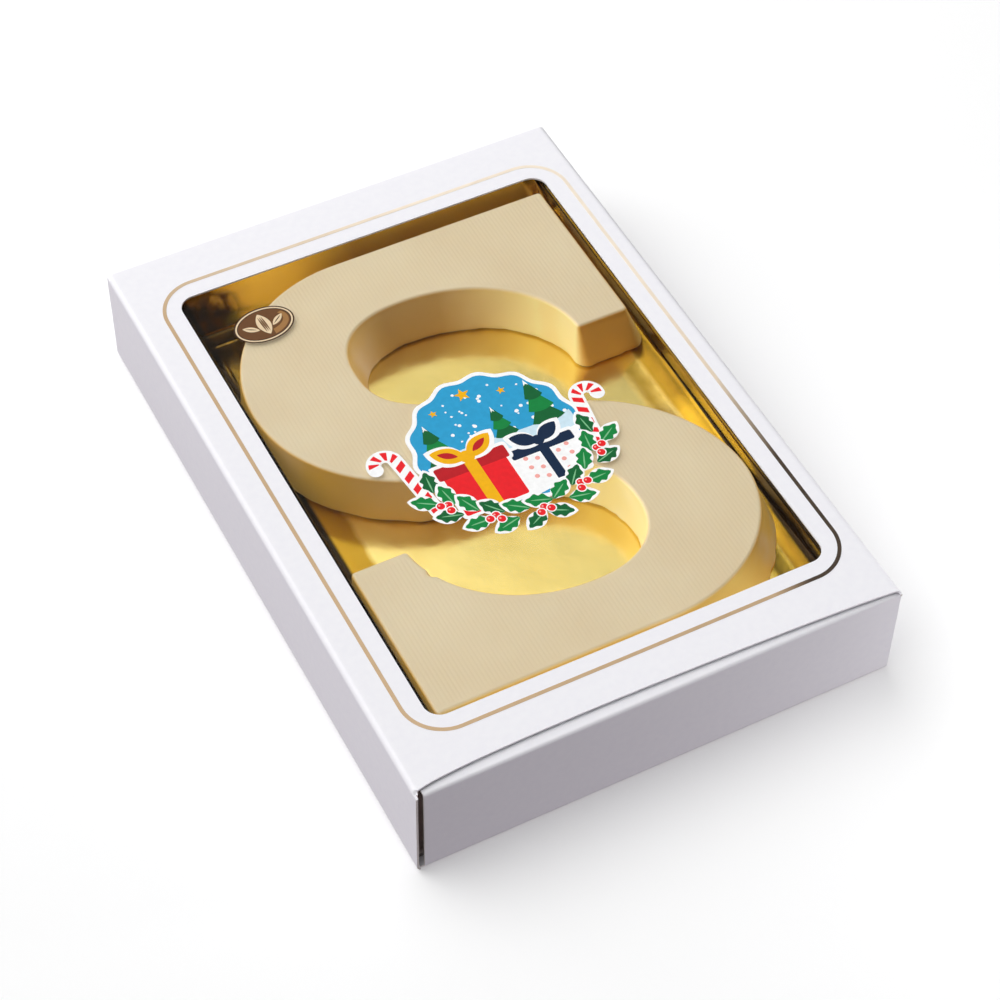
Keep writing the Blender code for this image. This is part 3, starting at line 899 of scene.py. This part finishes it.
class Print:
    """Flat shapes of ink on the film, each a hair above the last, gathered into one mesh per ink."""

    def __init__(self, centre, turn=0.0):
        self.centre, self.turn = centre, radians(turn)
        self.meshes = {}
        self.laid = 0

    def lay(self, ink_name, outline):
        self.laid += 1
        top = FILM_TOP + INK + INK_STEP * self.laid
        bm = self.meshes.setdefault(ink_name, bmesh.new())
        c, s = cos(self.turn), sin(self.turn)
        flat = [(self.centre[0] + x * c - y * s, self.centre[1] + x * s + y * c) for x, y in outline]
        lower, upper = ([bm.verts.new((x, y, z)) for x, y in flat] for z in (top - INK, top))
        faces = [bm.faces.new(upper), bm.faces.new(reversed(lower))]
        skin(bm, (lower, upper))
        bmesh.ops.triangulate(bm, faces=faces)

    def finish(self, prefix, inks):
        for ink_name, bm in self.meshes.items():
            bmesh.ops.recalc_face_normals(bm, faces=bm.faces)
            piece = add_piece(f"{prefix}_{ink_name}", bm, ink(f"ink_{prefix}_{ink_name}", inks[ink_name]))
            piece.visible_shadow = piece.visible_glossy = False


def oval(centre, radii, steps=44):
    return arc(centre, radii, 0, 360, steps)[:-1]


def disc(centre, radius, steps=28):
    return oval(centre, (radius, radius), steps)


def scalloped(centre, radius, depth, lobes):
    """A round field with a wavy rim."""
    angles = [2 * pi * step / (lobes * 10) for step in range(lobes * 10)]
    return [polar(centre, radius + depth * cos(lobes * angle), angle) for angle in angles]


def star(centre, outer, inner):
    """A star with five points."""
    angles = [pi / 2 + pi * step / 5 for step in range(10)]
    return [polar(centre, inner if step % 2 else outer, angle) for step, angle in enumerate(angles)]


def leaf(base, tip, width, teeth=0):
    """A pointed leaf from its base to its tip; teeth give it a holly's wavy edge."""
    along = Vector(tip) - Vector(base)
    across = Vector((-along.y, along.x)).normalized()
    steps = 16
    sides = []
    for side in (-1, 1):
        row = []
        for step in range(steps + 1):
            share = step / steps
            half = width / 2 * sin(pi * share) ** 0.8
            if teeth:
                half *= 1.0 + 0.22 * cos(2 * pi * teeth * share)
            row.append(tuple(Vector(base) + along * share + across * side * half))
        sides.append(row)
    return sides[0] + sides[1][-2:0:-1]


def box_outline(low, high, radius=0.8):
    return [point for corner in corner_arcs(low, high, radius, 4) for point in corner]


def band(path, start, stop, width, slant=0.0):
    """A stretch of a band along a path, between two shares of it, one edge shifted by the slant."""
    count = len(path) - 1
    sides = []
    for side, shift in ((1, 0.0), (-1, slant)):
        row = []
        steps = max(2, round((stop - start) * count))
        for step in range(steps + 1):
            place = min(1.0, max(0.0, start + shift + (stop - start) * step / steps)) * count
            index = min(int(place), count - 1)
            here, after = Vector(path[index]), Vector(path[index + 1])
            ahead = (after - here).normalized()
            across = Vector((ahead.y, -ahead.x))
            row.append(tuple(here.lerp(after, place - index) + across * side * width / 2))
        sides.append(row)
    return sides[0] + sides[1][::-1]


def lay_cane(sheet, foot, height, hook, side):
    """A striped candy cane: a leaning stem and a hook that turns outwards."""
    top = (foot[0] + side * 2.5, foot[1] + height)
    start = 180 if side > 0 else 0
    bend = arc((top[0] + side * hook, top[1]), (hook, hook), start, start - side * 190, 18)
    path = divided(foot, top, 20) + bend
    width, stripes = 3.0, 9
    for rim in (path[0], path[-1]):
        sheet.lay("white", disc(rim, width / 2 + 0.8))
    for index in range(stripes * 2):
        sheet.lay("white", band(path, index / (stripes * 2), (index + 1.2) / (stripes * 2), width + 1.6))
    for index in range(stripes):
        start = (index + 0.15) / stripes
        sheet.lay("red", band(path, start, start + 0.5 / stripes, width, slant=0.04 * side))


def lay_fir(sheet, foot, height, width):
    """A fir tree: three tiers of branches with snow at their tips."""
    x, y = foot
    sheet.lay("brown", box_outline((x - width * 0.07, y - 1.5), (x + width * 0.07, y + height * 0.2), 0.2))
    for tier, share in enumerate((1.0, 0.78, 0.55)):
        low = y + height * (0.12 + 0.26 * tier)
        high = low + height * (0.44 if tier < 2 else 0.36)
        half = width / 2 * share
        sag, tip = low - 1.6, high - 2.2
        hem = bezier((x + half, low), (x + half * 0.4, sag), (x - half * 0.4, sag), (x - half, low), 8)
        sheet.lay("green" if tier % 2 else "dark_green", [(x, high)] + hem[::-1])
        sheet.lay("white", [(x, high + 0.2), (x - half * 0.28, tip), (x, high - 1.5), (x + half * 0.28, tip)])


def lay_parcel(sheet, low, high, lid, body_ink, lid_ink, ribbon_ink, ribbon):
    """A gift parcel with a lid, a ribbon and a bow."""
    (left, base), (right, top) = low, high
    middle, lid_base, reach = (left + right) / 2, top - lid, ribbon * 2.5
    ribbon_left, ribbon_right = middle - ribbon / 2, middle + ribbon / 2
    sheet.lay("white", box_outline((left - 1.2, base - 1.0), (right + 1.2, top + 1.2), 1.4))
    sheet.lay("white", box_outline((left - 2.3, lid_base - 1.0), (right + 2.3, top + 1.2), 1.4))
    sheet.lay(body_ink, box_outline(low, high))
    sheet.lay(ribbon_ink, box_outline((ribbon_left, base), (ribbon_right, top), 0.1))
    sheet.lay(lid_ink, box_outline((left - 1.3, lid_base), (right + 1.3, top), 0.7))
    sheet.lay(ribbon_ink, box_outline((ribbon_left, lid_base), (ribbon_right, top), 0.1))
    for side in (-1, 1):
        rim_tip = (middle + side * (reach + 1.4), top + reach * 0.62 + 1)
        fold_base = (middle + side * reach * 0.25, top + reach * 0.16)
        fold_tip = (middle + side * reach * 0.8, top + reach * 0.5)
        sheet.lay("white", leaf((middle, top - 1), rim_tip, ribbon * 1.55 + 2.0))
        sheet.lay(ribbon_ink, leaf((middle, top), (middle + side * reach, top + reach * 0.62), ribbon * 1.55))
        sheet.lay(lid_ink, leaf(fold_base, fold_tip, ribbon * 0.6))
    sheet.lay(ribbon_ink, disc((middle, top + 0.5), ribbon * 0.62))


def make_print():
    """The picture on the film: parcels, firs and candy canes on a snowy blue field over holly."""
    sheet = Print(PRINT_CENTRE)
    field, reach = (0.0, 3.8), 24.6
    spray_reach = reach + 4.3
    sheet.lay("white", scalloped(field, reach + 1.4, 0.7, 14))
    sheet.lay("blue", scalloped(field, reach, 0.7, 14))
    draw = random.Random(11)
    for _ in range(46):
        angle, distance = draw.uniform(-0.1, pi + 0.1), reach * sqrt(draw.uniform(0.02, 0.86))
        sheet.lay("white", disc(polar(field, distance, angle), draw.uniform(0.28, 0.62), 12))
    for place, size in (((-1.5, 23.5), 2.6), ((-12.5, 20.5), 1.4), ((9.5, 20.0), 1.5)):
        sheet.lay("yellow", star(place, size, size * 0.42))
    far_hill = bezier((-23.5, 1.0), (-12.0, 8.5), (4.0, 1.5), (23.8, 4.5), 20)
    sheet.lay("pale_blue", far_hill[::-1] + arc(field, (reach - 0.6, reach - 0.6), 187, 358, 40))
    for fir in (((-17.5, 0.5), 17.0, 9.5), ((17.0, 1.5), 19.0, 10.5), ((3.5, 2.5), 13.0, 7.5)):
        lay_fir(sheet, *fir)
    near_hill = bezier((-23.0, -6.0), (-10.0, 1.5), (8.0, -4.5), (23.4, -1.5), 20)
    sheet.lay("white", near_hill[::-1] + arc(field, (reach - 0.6, reach - 0.6), 204, 347, 36))
    lay_cane(sheet, (-27.5, -13.0), 22.0, 3.4, -1)
    lay_cane(sheet, (25.5, -12.0), 19.0, 3.2, 1)
    lay_parcel(sheet, (1.5, -17.5), (19.0, -2.5), 3.6, "white", "navy", "navy", 3.0)
    for column in range(2):
        for row in range(3):
            for side in (-1, 1):
                place = (10.25 + side * (3.4 + 3.2 * column), -15.3 + 3.6 * row + 1.2 * column)
                sheet.lay("pink", disc(place, 0.75, 12))
    lay_parcel(sheet, (-21.0, -18.5), (-1.0, 1.0), 4.8, "red", "dark_red", "yellow", 3.8)
    leaves = 9
    spray = [(index, -1) for index in range(leaves + 2)]
    spray += [(index, 1) for index in range(leaves, leaves * 2 + 1)]
    for index, way in spray:
        angle = radians(202 + 136 * index / (leaves * 2))
        base = polar(field, spray_reach + (1.2 if index % 2 else -1.2), angle)
        lean = angle + way * radians(62 if index % 2 else 118)
        sheet.lay("white", leaf(base, polar(base, 9.2, lean), 5.6))
        sheet.lay("green" if index % 3 else "dark_green", leaf(base, polar(base, 8.2, lean), 4.3, teeth=3))
        sheet.lay("pale_green", leaf(base, polar(base, 6.6, lean), 0.45))
    for index in range(5):
        angle = radians(214 + 28 * index)
        for turn, distance in ((0, 0.0), (3.2, 1.3), (-3.0, 1.5)):
            x, y = polar(field, spray_reach + distance, angle + radians(turn))
            sheet.lay("white", disc((x, y), 1.55, 16))
            sheet.lay("red", disc((x, y), 1.2, 16))
            sheet.lay("pink", disc((x - 0.35, y + 0.4), 0.32, 10))
    sheet.finish("print", {
        "white": "#FDFDFD", "blue": "#2A9FD0", "pale_blue": "#CFE8F4", "navy": "#062444", "brown": "#5E3A1E",
        "red": "#EE1C25", "dark_red": "#BE1620", "pink": "#F6A9A0", "yellow": "#F5B400",
        "green": "#06843D", "dark_green": "#056230", "pale_green": "#7CC08C",
    })


def make_badge():
    """The small brown mark in the film's upper left: a plain oval with a cocoa pod between two leaves."""
    sheet = Print(BADGE_CENTRE, BADGE_TURN)
    for ink_name, margin in (("dark", 0.0), ("cream", 0.45), ("dark", 0.95), ("brown", 1.25)):
        sheet.lay(ink_name, oval((0, 0), (9.6 - margin, 6.9 - margin)))
    sheet.lay("tan", arc((0, 0), (7.9, 5.2), -80, 30, 20) + arc((0.5, 0.5), (5.9, 3.6), 30, -80, 20))
    for side in (-1, 1):
        sheet.lay("cream", leaf((side * 2.2, -1.6), (side * 6.6, 1.4), 2.0))
        sheet.lay("dark", leaf((side * 2.8, -1.1), (side * 6.0, 1.0), 0.35))
    sheet.lay("cream", leaf((0, -4.4), (0, 4.6), 4.2))
    for bend in (-1.0, 0.0, 1.0):
        sheet.lay("brown", leaf((bend * 0.55, -3.2), (bend * 0.55, 3.4), 0.5))
    sheet.finish("badge", {"dark": "#42291A", "cream": "#E6CFAA", "brown": "#6A4526", "tan": "#A07443"})


# Studio

def make_camera():
    a, e, r = (radians(v) for v in (CAMERA_AZIMUTH, CAMERA_ELEVATION, CAMERA_ROLL))
    back = Vector((sin(a) * cos(e), -cos(a) * cos(e), sin(e)))
    level = Vector((cos(a), sin(a), 0))
    up = back.cross(level)
    right = level * cos(r) + up * sin(r)
    up = back.cross(right)
    data = bpy.data.cameras.new("camera")
    data.lens, data.sensor_width = CAMERA_LENS, CAMERA_SENSOR
    camera = add_object("camera", data)
    place = Matrix((right, up, back)).transposed().to_4x4()
    place.translation = (Vector(CAMERA_TARGET) + back * CAMERA_DISTANCE) * MM
    camera.matrix_world = place
    bpy.context.scene.camera = camera


def make_lamp(name, place, size, power, aim):
    """A square soft lamp that points at a spot on the object."""
    data = bpy.data.lights.new(name, "AREA")
    data.shape, data.size, data.energy = "SQUARE", size, power
    lamp = add_object(name, data)
    lamp.location = place
    lamp.rotation_euler = (Vector(place) - Vector(aim)).to_track_quat("Z", "Y").to_euler()
    lamp.visible_glossy = name != "lamp_back"


def make_floor():
    """A plain white floor. It takes shadows, and leaves its own bounce to the dome's lower half."""
    bm = bmesh.new()
    bmesh.ops.create_grid(bm, x_segments=8, y_segments=8, size=3.0)
    floor = add_mesh("studio_floor", bm)
    floor.location = (0, 0, -0.0002)
    made = Finish("studio_white")
    made.set(Base_Color=(0.93, 0.93, 0.93, 1), Roughness=0.9)
    made.set(Emission_Color=(1, 1, 1, 1), Emission_Strength=0.04)
    floor.data.materials.append(made.material)
    floor.visible_diffuse = floor.visible_glossy = False


def make_world():
    """A studio dome: dim all round, with one broad soft lobe of light from the back left."""
    world = bpy.data.worlds.new("studio")
    tree = Nodes(world, "Generated")
    aim = Vector(SKY_AIM).normalized()
    facing = tree.add("VectorMath", tree.place, aim, operation="DOT_PRODUCT").outputs["Value"]
    edge, core = (cos(radians(angle)) for angle in (SKY_EDGE, SKY_CORE))
    lobe = tree.span(facing, SKY_REST, SKY_STRENGTH, edge, core)
    lobe.node.interpolation_type = "SMOOTHSTEP"
    lower = tree.rise(tree.add("SeparateXYZ", tree.place).outputs["Z"], 0.02, -0.02)
    background = tree.nodes["Background"].inputs
    tree.feed(background["Strength"], tree.plus(tree.times(lower, BOUNCE), lobe))
    tree.feed(background["Color"], tree.blend(lower, (1, 1, 1, 1), BOUNCE_COLOUR))
    bpy.context.scene.world = world


def main():
    noise.seed_set(RIPPLE_SEED)
    make_carton()
    make_line()
    make_insert()
    make_letter()
    make_print()
    make_badge()
    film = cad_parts["window_film"]
    film.data.materials.clear()
    film.data.materials.append(clear_film())
    bpy.context.scene.view_settings.view_transform = "Standard"
    make_camera()
    make_world()
    make_floor()
    for lamp in LAMPS:
        make_lamp(*lamp)


main()
